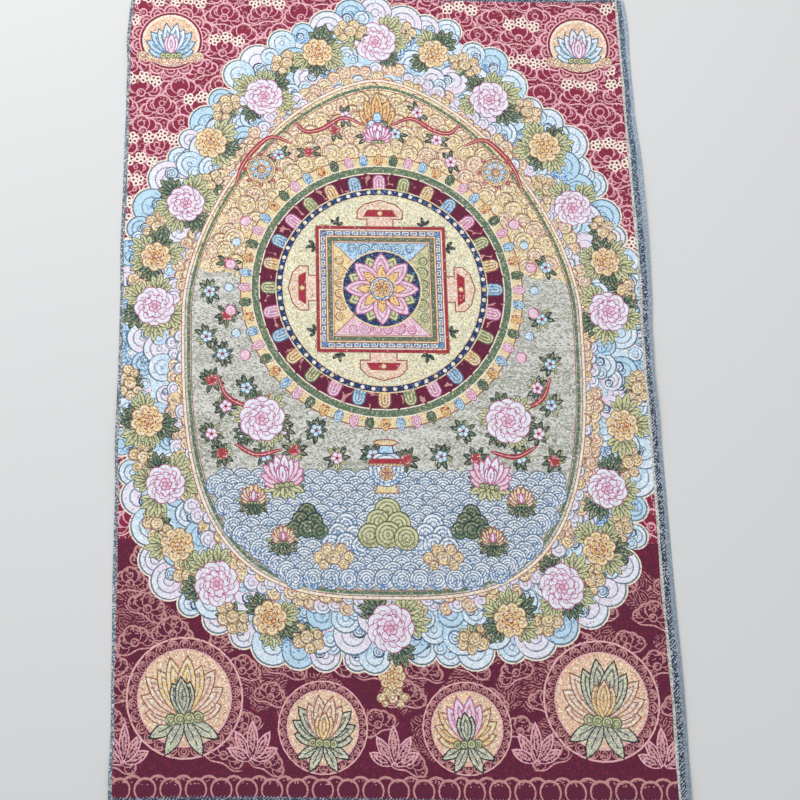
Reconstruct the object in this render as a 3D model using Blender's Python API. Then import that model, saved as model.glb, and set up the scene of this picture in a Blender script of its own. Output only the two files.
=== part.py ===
"""Woven brocade thangka panel, laid out flat as one piece of cloth.

The panel has no rods, cords or cloth mount: it is a single jacquard weave whose side margins
are its own selvedges and whose ends are cut in a plain twill heading.

Metres, +Z up. +Y runs up the picture (the warp) and +X across it (the weft). The origin is at
the level that the cloth lies on, under the middle of its outline.
"""
import math
from collections import namedtuple

import bmesh
import bpy

# Driving dimensions
PANEL_WIDTH = 0.600
PANEL_LENGTH = 0.9134
CLOTH_THICKNESS = 0.0012
WEFT_SKEW = -0.0387          # the weft drops this much for each metre towards +X
EDGE_REACH = 0.030           # how far in from a side its waviness is felt
CONTACT_LEVEL = 0.0004       # swells lower than this are pressed flat

# Grid of the solid: fine next to the sides, even between
SIDE_STATIONS = (0.0, 0.007, 0.016)
INNER_COLUMNS = 23
END_STATIONS = (0.0, 0.009)
INNER_ROWS = 36

# How far a side or end stands out past its straight line, by distance from its middle
EdgeWave = namedtuple("EdgeWave", "along out")
LEFT_SIDE = (
    EdgeWave(-0.457, -0.0018),
    EdgeWave(-0.394, -0.0022),
    EdgeWave(-0.319, -0.0011),
    EdgeWave(-0.217, 0.0003),
    EdgeWave(-0.137, -0.0004),
    EdgeWave(-0.083, 0.0010),
    EdgeWave(0.000, 0.0001),
    EdgeWave(0.087, 0.0003),
    EdgeWave(0.134, 0.0015),
    EdgeWave(0.237, 0.0002),
    EdgeWave(0.330, -0.0009),
    EdgeWave(0.364, -0.0019),
    EdgeWave(0.395, -0.0002),
    EdgeWave(0.427, -0.0020),
    EdgeWave(0.457, -0.0044),
)
RIGHT_SIDE = (
    EdgeWave(-0.457, -0.0006),
    EdgeWave(-0.367, 0.0010),
    EdgeWave(-0.240, 0.0002),
    EdgeWave(-0.132, -0.0002),
    EdgeWave(-0.060, -0.0012),
    EdgeWave(0.000, -0.0028),
    EdgeWave(0.037, -0.0013),
    EdgeWave(0.095, 0.0018),
    EdgeWave(0.155, 0.0027),
    EdgeWave(0.247, 0.0024),
    EdgeWave(0.311, -0.0004),
    EdgeWave(0.375, -0.0011),
    EdgeWave(0.408, -0.0006),
    EdgeWave(0.457, -0.0034),
)
TOP_END = (
    EdgeWave(-0.300, 0.0010),
    EdgeWave(-0.120, -0.0012),
    EdgeWave(0.080, 0.0008),
    EdgeWave(0.300, -0.0004),
)
BOTTOM_END = (
    EdgeWave(-0.300, 0.0006),
    EdgeWave(-0.200, -0.0004),
    EdgeWave(-0.080, -0.0009),
    EdgeWave(0.080, 0.0012),
    EdgeWave(0.300, 0.0000),
)

# Low swells where the cloth doesn't touch the surface under it
Swell = namedtuple("Swell", "across along half_length half_width turn_deg height")
SWELLS = (
    Swell(0.296, 0.175, 0.105, 0.020, 90.0, 0.0034),
    Swell(0.294, -0.020, 0.062, 0.017, 92.0, 0.0042),
    Swell(0.299, -0.330, 0.085, 0.016, 90.0, 0.0024),
    Swell(-0.297, 0.385, 0.060, 0.020, 84.0, 0.0036),
    Swell(-0.298, -0.090, 0.090, 0.015, 90.0, 0.0026),
    Swell(-0.292, -0.445, 0.055, 0.024, 130.0, 0.0032),
    Swell(0.290, -0.447, 0.050, 0.022, 48.0, 0.0030),
    Swell(0.288, 0.446, 0.050, 0.022, 135.0, 0.0028),
    Swell(-0.060, 0.452, 0.110, 0.017, 0.0, 0.0022),
    Swell(0.120, -0.453, 0.120, 0.016, 0.0, 0.0024),
    Swell(-0.150, 0.215, 0.150, 0.042, 62.0, 0.0019),
    Swell(0.135, 0.060, 0.170, 0.046, 104.0, 0.0017),
    Swell(-0.045, -0.235, 0.180, 0.040, 12.0, 0.0018),
)


def smooth_wave(table, along):
    """Read an edge table at a distance along the edge, with a smooth blend between its rows."""
    if along <= table[0].along:
        return table[0].out
    for low, high in zip(table, table[1:]):
        if along <= high.along:
            share = (along - low.along) / (high.along - low.along)
            blend = share * share * (3.0 - 2.0 * share)
            return low.out + (high.out - low.out) * blend
    return table[-1].out


def side_pull(distance_from_side):
    """Share of a side's waviness that is left at a distance in from that side."""
    share = max(0.0, 1.0 - distance_from_side / EDGE_REACH)
    return share * share


def lift(across, along):
    """Height of the cloth's underside above the surface it lies on."""
    height = 0.0
    for swell in SWELLS:
        turn = math.radians(swell.turn_deg)
        dx = across - swell.across
        dy = along - swell.along
        lengthwise = (dx * math.cos(turn) + dy * math.sin(turn)) / swell.half_length
        crosswise = (dy * math.cos(turn) - dx * math.sin(turn)) / swell.half_width
        height += swell.height * math.exp(-(lengthwise**2 + crosswise**2))
    return max(0.0, height - CONTACT_LEVEL)


def lay(across, along):
    """Place a point of the cut cloth: its waviness, then the skew of the weft."""
    half_width = PANEL_WIDTH / 2
    half_length = PANEL_LENGTH / 2
    x = across
    x += smooth_wave(RIGHT_SIDE, along) * side_pull(half_width - across)
    x -= smooth_wave(LEFT_SIDE, along) * side_pull(half_width + across)
    y = along + WEFT_SKEW * across
    y += smooth_wave(TOP_END, across) * side_pull(half_length - along)
    y -= smooth_wave(BOTTOM_END, across) * side_pull(half_length + along)
    return x, y, lift(across, along)


def stations(length, end_stations, inner_count):
    """Grid lines across a length: the end stations at both ends, and even ones between."""
    half = length / 2
    inset = end_stations[-1]
    pitch = (length - 2 * inset) / inner_count
    low = [-half + station for station in end_stations]
    inner = [-half + inset + pitch * number for number in range(1, inner_count)]
    high = [half - station for station in reversed(end_stations)]
    return low + inner + high


def centred(points):
    """Move a grid of points so that the middle of its outline is over the origin."""
    flat = [point for row in points for point in row]
    middle_x = (min(p[0] for p in flat) + max(p[0] for p in flat)) / 2
    middle_y = (min(p[1] for p in flat) + max(p[1] for p in flat)) / 2
    return [[(x - middle_x, y - middle_y, z) for x, y, z in row] for row in points]


def cloth_mesh():
    """One closed sheet: its underside, its face one thickness above, and the cut edge."""
    columns = stations(PANEL_WIDTH, SIDE_STATIONS, INNER_COLUMNS)
    rows = stations(PANEL_LENGTH, END_STATIONS, INNER_ROWS)
    points = centred([[lay(across, along) for across in columns] for along in rows])

    shape = bmesh.new()
    under = [[shape.verts.new(point) for point in row] for row in points]
    face = [[shape.verts.new((x, y, z + CLOTH_THICKNESS)) for x, y, z in row] for row in points]
    for j in range(len(rows) - 1):
        for i in range(len(columns) - 1):
            shape.faces.new((face[j][i], face[j][i + 1], face[j + 1][i + 1], face[j + 1][i]))
            shape.faces.new((under[j][i], under[j + 1][i], under[j + 1][i + 1], under[j][i + 1]))

    def rim(layer):
        bottom = layer[0]
        right = [row[-1] for row in layer[1:]]
        top = layer[-1][-2::-1]
        left = [row[0] for row in layer[-2:0:-1]]
        return bottom + right + top + left

    under_rim = rim(under)
    face_rim = rim(face)
    for k, corner in enumerate(under_rim):
        after = (k + 1) % len(under_rim)
        shape.faces.new((corner, under_rim[after], face_rim[after], face_rim[k]))

    bmesh.ops.triangulate(shape, faces=shape.faces[:])
    bmesh.ops.recalc_face_normals(shape, faces=shape.faces[:])
    mesh = bpy.data.meshes.new("woven_panel")
    shape.to_mesh(mesh)
    shape.free()
    return mesh


def brocade_material():
    """Matt woven silk and gilt thread, at its average colour."""
    material = bpy.data.materials.new("brocade")
    material.use_nodes = True
    shader = material.node_tree.nodes["Principled BSDF"]
    shader.inputs["Base Color"].default_value = (0.42, 0.28, 0.20, 1.0)
    shader.inputs["Roughness"].default_value = 0.75
    shader.inputs["Metallic"].default_value = 0.0
    return material


def main():
    for old in list(bpy.data.objects):
        bpy.data.objects.remove(old)
    panel = bpy.data.objects.new("woven_panel", cloth_mesh())
    panel.data.materials.append(brocade_material())
    bpy.context.scene.collection.objects.link(panel)


main()
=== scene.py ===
"""Woven brocade thangka panel, laid flat: one cloth with its woven design, on a pale floor.

The design is drawn in millimetres on the cut cloth, as flat shapes that lie over each other.
The cloth's face is then divided along the lines that show, so each woven area is its own group
of faces, and the whole is laid in the waves and swells of the real panel.
"""
import math
import random
from collections import namedtuple
from contextlib import contextmanager
from functools import partialmethod

import bpy
import numpy as np
from bpy.props import FloatProperty, FloatVectorProperty, PointerProperty
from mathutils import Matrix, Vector
from mathutils.bvhtree import BVHTree
from mathutils.geometry import delaunay_2d_cdt


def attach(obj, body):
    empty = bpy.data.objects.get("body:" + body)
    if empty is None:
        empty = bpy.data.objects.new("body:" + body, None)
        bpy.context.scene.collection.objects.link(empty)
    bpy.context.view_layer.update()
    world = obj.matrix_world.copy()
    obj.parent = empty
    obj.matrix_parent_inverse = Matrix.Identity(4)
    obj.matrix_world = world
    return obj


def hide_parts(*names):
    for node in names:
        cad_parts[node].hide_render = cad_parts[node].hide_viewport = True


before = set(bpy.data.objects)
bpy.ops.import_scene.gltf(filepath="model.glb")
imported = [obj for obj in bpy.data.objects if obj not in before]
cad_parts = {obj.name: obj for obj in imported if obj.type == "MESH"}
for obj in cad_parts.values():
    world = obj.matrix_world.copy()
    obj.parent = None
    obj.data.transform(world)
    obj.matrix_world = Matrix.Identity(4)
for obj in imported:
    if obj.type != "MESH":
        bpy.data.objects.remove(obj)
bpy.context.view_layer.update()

bl_info = {
    "name": "Woven Brocade Panel",
    "version": (1, 0, 0),
    "blender": (4, 5, 0),
    "location": "3D View > Sidebar > Brocade",
    "description": "Weaves a patterned brocade panel and lays it on a floor",
    "category": "Object",
}

MM = 0.001
PANEL_NODE = "woven_panel"
CLOTH_NAME = "brocade_cloth"


# ---------------- sizes and colours

def amount(name, description, default, **more):
    return FloatProperty(name=name, description=description, default=default, **more)


def length(name, description, default):
    return amount(name, description, default, unit="LENGTH")


def dyed(name, description, *levels):
    """A thread colour, given as it looks on a screen from 0 to 255."""
    return FloatVectorProperty(name=name.replace("_", " ").capitalize(), description=description,
                               default=[level / 255 for level in levels], subtype="COLOR_GAMMA",
                               min=0.0, max=1.0)


class PanelSizes(bpy.types.PropertyGroup):
    """Real sizes of the cloth and of its margins."""

    width: length("Width", "Selvedge to selvedge, before the cloth is laid", 0.600)
    length: length("Length", "Cut end to cut end, before the cloth is laid", 0.9134)
    thickness: length("Thickness", "Thickness of the cloth", 0.0012)
    left_margin: length("Left margin", "Speckled strip left of the picture", 0.0042)
    right_selvedge: length("Right selvedge", "Smooth strip along the right side", 0.0046)
    right_margin: length("Right margin", "Twill between selvedge and pale line", 0.0060)
    right_line: length("Right line", "Pale line between picture and right margin", 0.0029)
    top_margin: length("Top margin", "Twill heading at the top", 0.0035)
    bottom_margin: length("Bottom margin", "Twill heading at the bottom", 0.0060)


DYES = {
    "crimson": ("Ground of the upper corners", 138, 38, 66),
    "wine": ("Ground of the lower quarter", 98, 29, 57),
    "pink": ("Scroll lines on the crimson ground", 234, 178, 188),
    "rose": ("Scroll lines on the wine ground", 200, 144, 142),
    "cream": ("Florets, borders and highlights", 244, 234, 218),
    "gold": ("Gilt ground", 231, 207, 154),
    "straw": ("Lighter gilt", 242, 228, 192),
    "amber": ("Yellow blossoms and curls", 240, 202, 134),
    "peach": ("Peach petals and grounds", 232, 188, 162),
    "rust": ("Lines drawn on gold", 150, 102, 84),
    "scarlet": ("Ribbons and dashes", 176, 54, 66),
    "magenta": ("Lines inside the peonies", 180, 100, 140),
    "lilac": ("Peony petals", 236, 214, 230),
    "white": ("Lightest parts of clouds and petals", 234, 240, 246),
    "sky": ("Clouds", 190, 220, 238),
    "blue": ("Shaded clouds and water", 104, 146, 196),
    "slate": ("Outlines of clouds", 94, 116, 136),
    "navy": ("Darkest accents", 46, 58, 98),
    "green": ("Dark green bands", 92, 116, 94),
    "leaf": ("Yellow-green leaves", 212, 210, 164),
    "olive": ("Veins and outlines of leaves", 92, 102, 76),
    "moss": ("Shaded leaves", 160, 158, 122),
    "lime": ("Pale yellow-green grounds", 222, 220, 188),
    "mist": ("Grey-green grounds", 172, 173, 160),
    "dove": ("Paler grey-green grounds", 216, 214, 206),
    "ink": ("Finest dark outlines", 40, 50, 54),
    "salt": ("Pale warp showing between the picks", 226, 222, 226),
    "pepper": ("Dark binding threads", 112, 104, 112),
    "twill_dark": ("Dark threads of the margins", 44, 50, 68),
    "twill_light": ("Light threads of the margins", 186, 194, 206),
    "selvedge": ("Smooth outer strip", 142, 161, 174),
}


class ThreadColours(bpy.types.PropertyGroup):
    """Colours of the dyed threads."""

    __annotations__ = {name: dyed(name, *dye) for name, dye in DYES.items()}


class StageSettings(bpy.types.PropertyGroup):
    """Camera, floor and light."""

    lens: amount("Lens", "Focal length in millimetres", 36.0)
    sensor: amount("Sensor", "Sensor width in millimetres", 36.0)
    camera_x: length("Camera X", "Camera's place across the cloth's middle", 0.0004)
    camera_y: length("Camera Y", "Camera's place along the cloth's middle", -0.178)
    camera_z: length("Camera Z", "Camera's height above the cloth", 0.876)
    camera_turn: FloatVectorProperty(
        name="Camera turn", description="Camera's rotation", subtype="EULER",
        default=[math.radians(angle) for angle in (9.21, -0.50, -1.69)])
    floor_size: length("Floor size", "Side of the square floor", 6.0)
    key_power: amount("Key light", "Power of the large soft light", 34.0)
    fill_power: amount("Fill light", "Power of the second soft light", 3.0)


# ---------------- how the cloth lies

EDGE_REACH = 30.0            # how far in from a side its waviness is felt
WEFT_SKEW = -0.0387          # the weft drops this much for each millimetre towards the right
CONTACT_LEVEL = 0.4          # swells lower than this are pressed flat

# How far a side or end stands out past its straight line: (distance from its middle, reach outwards)
LEFT_SIDE = ((-457, -1.8), (-394, -2.2), (-319, -1.1), (-217, 0.3), (-137, -0.4), (-83, 1.0), (0, 0.1),
             (87, 0.3), (134, 1.5), (237, 0.2), (330, -0.9), (364, -1.9), (395, -0.2), (427, -2.0),
             (457, -4.4))
RIGHT_SIDE = ((-457, -0.6), (-367, 1.0), (-240, 0.2), (-132, -0.2), (-60, -1.2), (0, -2.8), (37, -1.3),
              (95, 1.8), (155, 2.7), (247, 2.4), (311, -0.4), (375, -1.1), (408, -0.6), (457, -3.4))
TOP_END = ((-300, 1.0), (-120, -1.2), (80, 0.8), (300, -0.4))
BOTTOM_END = ((-300, 0.6), (-200, -0.4), (-80, -0.9), (80, 1.2), (300, 0.0))

# Low swells where the cloth doesn't touch the surface under it
Swell = namedtuple("Swell", "across along half_length half_width turn_deg height")
SWELLS = (
    Swell(296, 175, 105, 20, 90, 3.4),
    Swell(294, -20, 62, 17, 92, 4.2),
    Swell(299, -330, 85, 16, 90, 2.4),
    Swell(-297, 385, 60, 20, 84, 3.6),
    Swell(-298, -90, 90, 15, 90, 2.6),
    Swell(-292, -445, 55, 24, 130, 3.2),
    Swell(290, -447, 50, 22, 48, 3.0),
    Swell(288, 446, 50, 22, 135, 2.8),
    Swell(-60, 452, 110, 17, 0, 2.2),
    Swell(120, -453, 120, 16, 0, 2.4),
    Swell(-150, 215, 150, 42, 62, 1.9),
    Swell(135, 60, 170, 46, 104, 1.7),
    Swell(-45, -235, 180, 40, 12, 1.8),
)


def smooth_wave(table, along):
    """Read an edge table at distances along the edge, with a smooth blend between its rows."""
    stops, outs = np.array(table, float).T
    along = np.clip(along, stops[0], stops[-1])
    row = np.clip(np.searchsorted(stops, along) - 1, 0, len(stops) - 2)
    share = (along - stops[row]) / (stops[row + 1] - stops[row])
    return outs[row] + (outs[row + 1] - outs[row]) * share * share * (3 - 2 * share)


def side_pull(distance_from_side):
    """Share of a side's waviness that is left at a distance in from that side."""
    return np.clip(1 - distance_from_side / EDGE_REACH, 0, 1) ** 2


def lift(across, along):
    """Height of the cloth's underside above the floor, in millimetres."""
    height = np.zeros_like(across)
    for swell in SWELLS:
        turn = math.radians(swell.turn_deg)
        dx, dy = across - swell.across, along - swell.along
        lengthwise = (dx * math.cos(turn) + dy * math.sin(turn)) / swell.half_length
        crosswise = (dy * math.cos(turn) - dx * math.sin(turn)) / swell.half_width
        height += swell.height * np.exp(-(lengthwise**2 + crosswise**2))
    return np.maximum(0, height - CONTACT_LEVEL)


def half_sizes(size):
    """Half the width and half the length of the cut cloth, in millimetres."""
    return np.array([size.width, size.length]) / MM / 2


def lay(points, size):
    """Places of points of the cut cloth, in metres: its waviness, its skew and its swells."""
    across, along = points[:, 0], points[:, 1]
    half_width, half_length = half_sizes(size)
    x = across + smooth_wave(RIGHT_SIDE, along) * side_pull(half_width - across)
    x = x - smooth_wave(LEFT_SIDE, along) * side_pull(half_width + across)
    y = along + WEFT_SKEW * across
    y = y + smooth_wave(TOP_END, across) * side_pull(half_length - along)
    y = y - smooth_wave(BOTTOM_END, across) * side_pull(half_length + along)
    return np.stack([x, y, lift(across, along)], 1) * MM


# ---------------- curves, in millimetres

CHORD_ERROR = 0.25           # how far a drawn arc may leave its true curve


def steps(radius, sweep):
    """Number of chords that keep an arc within the chord error."""
    turn = 2 * math.acos(max(0.2, 1 - CHORD_ERROR / max(radius, 0.3)))
    return max(2, math.ceil(abs(sweep) / turn))


def arc(x, y, radius, start, end, squash=1.0):
    """Points of an arc between two angles in degrees; squash scales it along Y."""
    first, last = math.radians(start), math.radians(end)
    angles = np.linspace(first, last, steps(radius, last - first) + 1)
    return np.stack([x + radius * np.cos(angles), y + radius * squash * np.sin(angles)], 1)


def circle(x, y, radius, squash=1.0):
    return arc(x, y, radius, 0, 360, squash)[:-1]


def scalloped(x, y, radius, lobes, depth):
    """Closed outline of round lobes that meet in notches."""
    angles = np.linspace(0, math.tau, lobes * 4, endpoint=False)
    reach = radius * (1 - depth + depth * np.abs(np.sin(angles * lobes / 2)))
    return np.stack([x + reach * np.cos(angles), y + reach * np.sin(angles)], 1)


def through(points, per_span=5):
    """A smooth open curve through given points."""
    p = np.array(points, float)
    p = np.concatenate([[2 * p[0] - p[1]], p, [2 * p[-1] - p[-2]]])
    t = np.linspace(0, 1, per_span, endpoint=False)[:, None]
    spans = [(2 * b + (c - a) * t + (2 * a - 5 * b + 4 * c - d) * t**2 + (3 * (b - c) + d - a) * t**3) / 2
             for a, b, c, d in zip(p, p[1:], p[2:], p[3:])]
    return np.concatenate([*spans, p[-2:-1]])


def taper(low, high, low_half, high_half):
    """A four-sided outline, of one half width at its foot and another at its head."""
    return np.array([(-low_half, low), (low_half, low), (high_half, high), (-high_half, high)])


def unit(vectors):
    return vectors / np.maximum(np.linalg.norm(vectors, axis=1), 1e-6)[:, None]


# ---------------- the drawn design

PLAIN, STIPPLED, TWILL_SIDE, TWILL_END, RIBBED, CURLED, STREAKED = range(7)

# A woven finish: two body threads, the thread of its lines, the share of the second thread at the
# low and high end of the shape, the share of salt and pepper, how gilt it is, and the kind of weave
Yarn = namedtuple("Yarn", "first second line low high speck gilt kind", defaults=(0, 0, PLAIN))
YARNS = {
    "crimson": Yarn("crimson", "wine", "pink", 0.15, 0.15, 0, 0, CURLED),
    "crimson_lobe": Yarn("crimson", "rose", "pink", -0.50, 0.45),
    "wine": Yarn("wine", "crimson", "rose", 0.08, 0.08, 0, 0, CURLED),
    "flat_wine": Yarn("wine", "crimson", "pink", 0.08, 0.08),
    "wine_petal": Yarn("wine", "rose", "rose", -0.60, 0.30),
    "wine_lobe": Yarn("wine", "rose", "rose", -0.35, 0.65),
    "halo": Yarn("peach", "straw", "rust", 0.28, 0.28, 0.05, 0.2, STIPPLED),
    "floret": Yarn("crimson", "wine", "cream", 0.10, 0.10),
    "rose_line": Yarn("rose", "pink", "wine", 0.25, 0.25),
    "pink": Yarn("pink", "peach", "wine", 0.35, 0.35, 0.08),
    "cream": Yarn("cream", "straw", "rust", 0.30, 0.30, 0.14, 0.1),
    "gold": Yarn("gold", "straw", "rust", 0.25, 0.25, 0.16, 0.5),
    "gilt_ground": Yarn("gold", "straw", "rust", 0.35, 0.35, 0.30, 0.6, STIPPLED),
    "curl": Yarn("gold", "straw", "rust", 0.05, 0.75, 0.22, 0.5, STIPPLED),
    "peach_curl": Yarn("peach", "straw", "rust", 0.10, 0.85, 0.22, 0.3, STIPPLED),
    "rust": Yarn("rust", "scarlet", "gold", 0.20, 0.20),
    "scarlet": Yarn("scarlet", "crimson", "rust", 0.25, 0.25, 0.02),
    "scarlet_petal": Yarn("scarlet", "pink", "rust", -0.20, 0.80, 0.02),
    "magenta": Yarn("magenta", "lilac", "wine", 0.20, 0.20),
    "peony": Yarn("lilac", "white", "magenta", 0.10, 0.90, 0.02),
    "peony_deep": Yarn("pink", "lilac", "magenta", 0.20, 1.00, 0.02),
    "amber": Yarn("amber", "straw", "rust", 0.05, 0.85, 0.14, 0.3),
    "amber_deep": Yarn("scarlet", "amber", "rust", 0.50, 1.20, 0.10, 0.3),
    "peach_petal": Yarn("wine", "rose", "pink", 0.10, 0.80, 0.02),
    "peach": Yarn("peach", "cream", "rust", 0.15, 0.60, 0.08, 0.1),
    "cloud": Yarn("sky", "white", "slate", -0.10, 0.95, 0.03),
    "cloud_rose": Yarn("lilac", "white", "slate", 0.00, 0.90, 0.03),
    "cloud_eye": Yarn("sky", "white", "navy", 0.10, 0.70, 0.02),
    "cloud_deep": Yarn("blue", "sky", "slate", 0.30, 1.35, 0.05),
    "water": Yarn("blue", "white", "slate", 0.45, 1.05, 0.16),
    "blue": Yarn("blue", "navy", "cream", 0.20, 0.20, 0.12),
    "navy": Yarn("navy", "blue", "gold", 0.08, 0.08, 0.02),
    "green": Yarn("green", "moss", "cream", 0.20, 0.20, 0.04),
    "leaf": Yarn("moss", "leaf", "olive", 0.20, 1.30, 0.04),
    "leaf_dark": Yarn("green", "moss", "ink", -0.05, 0.60, 0.06),
    "lime": Yarn("lime", "straw", "gold", 0.35, 0.35, 0.20, 0.2, STIPPLED),
    "haze": Yarn("mist", "dove", "olive", 0.15, 0.85, 0.12, 0, STREAKED),
    "sage": Yarn("mist", "lime", "ink", 0.15, 0.70, 0.03),
    "edge_line": Yarn("mist", "dove", "olive", 0.45, 0.45, 0.15, 0.1),
    "speckled": Yarn("slate", "mist", "twill_dark", 0.30, 0.30, 0.30),
    "twill_side": Yarn("twill_dark", "twill_light", "slate", 0, 0, 0, 0, TWILL_SIDE),
    "twill_end": Yarn("twill_dark", "twill_light", "slate", 0, 0, 0, 0, TWILL_END),
    "twill_fleck": Yarn("twill_light", "twill_dark", "slate", 0.40, 0.40),
    "selvedge": Yarn("selvedge", "twill_light", "slate", 0.35, 0.35, 0, 0, RIBBED),
    "reverse": Yarn("peach", "wine", "slate", 0.45, 0.45, 0.20, 0.1, STIPPLED),
}

# How a shape is drawn about its middle, in millimetres. Its body is the points nearer than radius
# to a middle that is stretched along the shape, or pinched across it into a pointed leaf.
# line is the width of its rim; pitch repeats that line inwards, as rings or, with a hand of 1 or
# -1, as a spiral; rib is the share of the shape's length that has a middle vein; sway makes the
# lines thick at the shape's tip and thin at its foot.
Form = namedtuple("Form", "x y turn radius pinch stretch line pitch hand rib sway",
                  defaults=(0, 0, 0, 5000, 0, 0, 0, 9000, 0, 0, 0))
UNDRAWN = Form()
CURLS = Form(radius=14, line=0.9, pitch=5.4, hand=1, sway=0.8)
FOLIAGE = Form(radius=16, pinch=8, line=0.9, pitch=3.1, sway=0.6)

FINE, LINE, BOLD = 0.95, 1.35, 1.9    # widths of drawn lines
MITRE_LIMIT = 1.5
SMALLEST_FACE = 0.01         # square millimetres


class Drawing:
    """Collects the shapes of the design on the cut cloth, later shapes on top."""

    def __init__(self, half_width, half_length):
        self.half_width, self.half_length = half_width, half_length
        self.points, self.faces, self.owners = [], [], []
        self.yarns, self.forms = [], []
        self.turned, self.moved = np.eye(2), np.zeros(2)

    @contextmanager
    def placed(self, x, y, turn=0.0, flip=False):
        """Draw around another point, turned by degrees and perhaps mirrored."""
        kept = self.turned, self.moved
        c, s = math.cos(math.radians(turn)), math.sin(math.radians(turn))
        local = np.array([[c, -s], [s, c]])
        if flip:
            local = local @ np.diag([-1.0, 1.0])
        self.moved = self.turned @ (x, y) + self.moved
        self.turned = self.turned @ local
        yield
        self.turned, self.moved = kept

    def around(self, count, start=0.0):
        """Draw once at each even step of a full turn."""
        for k in range(count):
            with self.placed(0, 0, start + k * 360 / count):
                yield k

    def settled(self, path):
        return np.asarray(path, float) @ self.turned.T + self.moved

    def new_shape(self, yarn, form=UNDRAWN):
        self.yarns.append(yarn)
        self.forms.append(form)
        return len(self.yarns) - 1

    def add_face(self, numbers, owner):
        corners = np.array([self.points[n] for n in numbers])
        after = np.roll(corners, -1, axis=0)
        area = 0.5 * np.sum(corners[:, 0] * after[:, 1] - after[:, 0] * corners[:, 1])
        if abs(area) > SMALLEST_FACE:
            self.faces.append(numbers if area > 0 else numbers[::-1])
            self.owners.append(owner)

    def fill(self, outline, yarn, form=UNDRAWN):
        """A filled shape. Its outline must not cross itself."""
        start = len(self.points)
        self.points.extend(self.settled(outline))
        self.add_face(list(range(start, len(self.points))), self.new_shape(yarn, form))

    def oval(self, yarn, x, y, radius, turn=0.0, line=LINE, sway=0.3, hand=0, **drawn):
        """A round, long or pointed shape with its own drawn lines; it points up Y when unturned."""
        with self.placed(x, y, turn):
            facing = math.atan2(-self.turned[0, 1], self.turned[1, 1])
            hand *= round(np.linalg.det(self.turned))
            form = Form(*self.moved, facing, radius, line=line, sway=sway, hand=hand, **drawn)
            tip = math.degrees(math.acos(form.pinch / radius))
            right = arc(-form.pinch, 0, radius, -tip, tip)
            if form.stretch:
                right = np.concatenate([arc(-form.pinch, -form.stretch, radius, -tip, 0),
                                        arc(-form.pinch, form.stretch, radius, 0, tip)])
            self.fill(np.concatenate([right, (right * (-1, 1))[-2:0:-1]]), yarn, form)

    def ring(self, yarn, count, start, out, radius, **drawn):
        """Ovals set round a middle, each at a distance out from it."""
        for _ in self.around(count, start):
            self.oval(yarn, 0, out, radius, **drawn)

    def blade(self, yarn, foot, long, wide, turn=0.0, **drawn):
        """A pointed petal or leaf that starts at a distance up from the middle."""
        reach = long * long / (2 * wide)
        radius, pinch = (reach + wide / 2) / 2, (reach - wide / 2) / 2
        with self.placed(0, 0, turn):
            self.oval(yarn, 0, foot + long / 2, radius, pinch=max(0, pinch), **drawn)

    def line(self, path, width, yarn, closed=False, ends=1.0):
        """A drawn line of a width; ends is the share of the width left at an open end."""
        owner = self.new_shape(yarn)
        path = self.settled(path)
        count = len(path)
        ahead = np.roll(path, -1, axis=0) - path
        if not closed:
            ahead[-1] = ahead[-2]
        ahead = unit(ahead)
        behind = np.roll(ahead, 1, axis=0)
        if not closed:
            behind[0] = ahead[0]
        middle = unit(ahead + behind)
        stretch = 1 / np.maximum(np.sum(middle * ahead, axis=1), 1 / MITRE_LIMIT)
        fullness = np.sin(math.pi * np.linspace(0, 1, count)) ** 0.6
        half = width / 2 * (ends + (1 - ends) * fullness)
        side = np.stack([-middle[:, 1], middle[:, 0]], 1) * (half * stretch)[:, None]
        start = len(self.points)
        self.points.extend(np.concatenate([path + side, path - side]))
        for k in range(count if closed else count - 1):
            left, left_after = start + k, start + (k + 1) % count
            self.add_face([left + count, left_after + count, left_after, left], owner)

    def outlined(self, outline, yarn, edge, width=LINE):
        """A filled shape with a line round it."""
        self.fill(outline, yarn)
        self.line(outline, width, edge, closed=True)


# ---------------- motifs

def leaf_fan(pen, x, y, turn, size=1.0, dark=False, count=5):
    """A spray of pointed leaflets on one point, the outer ones below."""
    leans = [(k - (count - 1) / 2) * 156 / count for k in range(count)]
    with pen.placed(x, y, turn):
        for lean in sorted(leans, key=lambda lean: -abs(lean)):
            pen.blade("leaf_dark" if dark else "leaf", 0.5, size * (18.5 - 0.07 * abs(lean)), size * 7.4,
                      lean, line=1.05, rib=0.8, sway=0.0)


def leaf_skirt(pen, x, y, size, *leans):
    """Leaf sprays to both sides of a flower: (lean from upright, whether dark)."""
    for lean, dark in leans:
        for side in (1, -1):
            leaf_fan(pen, x, y, side * lean, size, dark)


def peony(pen, x, y, size=1.0, turn=0.0):
    """A full peony seen from the front: three rings of round petals."""
    with pen.placed(x, y, turn):
        for k in pen.around(9):
            pen.oval("peony", 0, size * 14.0, size * (9.2 + 0.7 * (k % 2)), line=FINE, pitch=size * 5.2)
        pen.ring("peony", 8, 20, size * 8.8, size * 5.6, line=FINE)
        for _ in pen.around(10):
            pen.line(arc(0, 0, size * 11.8, 0, 21), BOLD, "magenta", ends=0.4)
        pen.ring("peony_deep", 6, 12, size * 4.1, size * 3.6, line=FINE)
        pen.oval("peony_deep", 0, 0, size * 3.4, line=FINE, pitch=2.0, hand=1)


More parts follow.
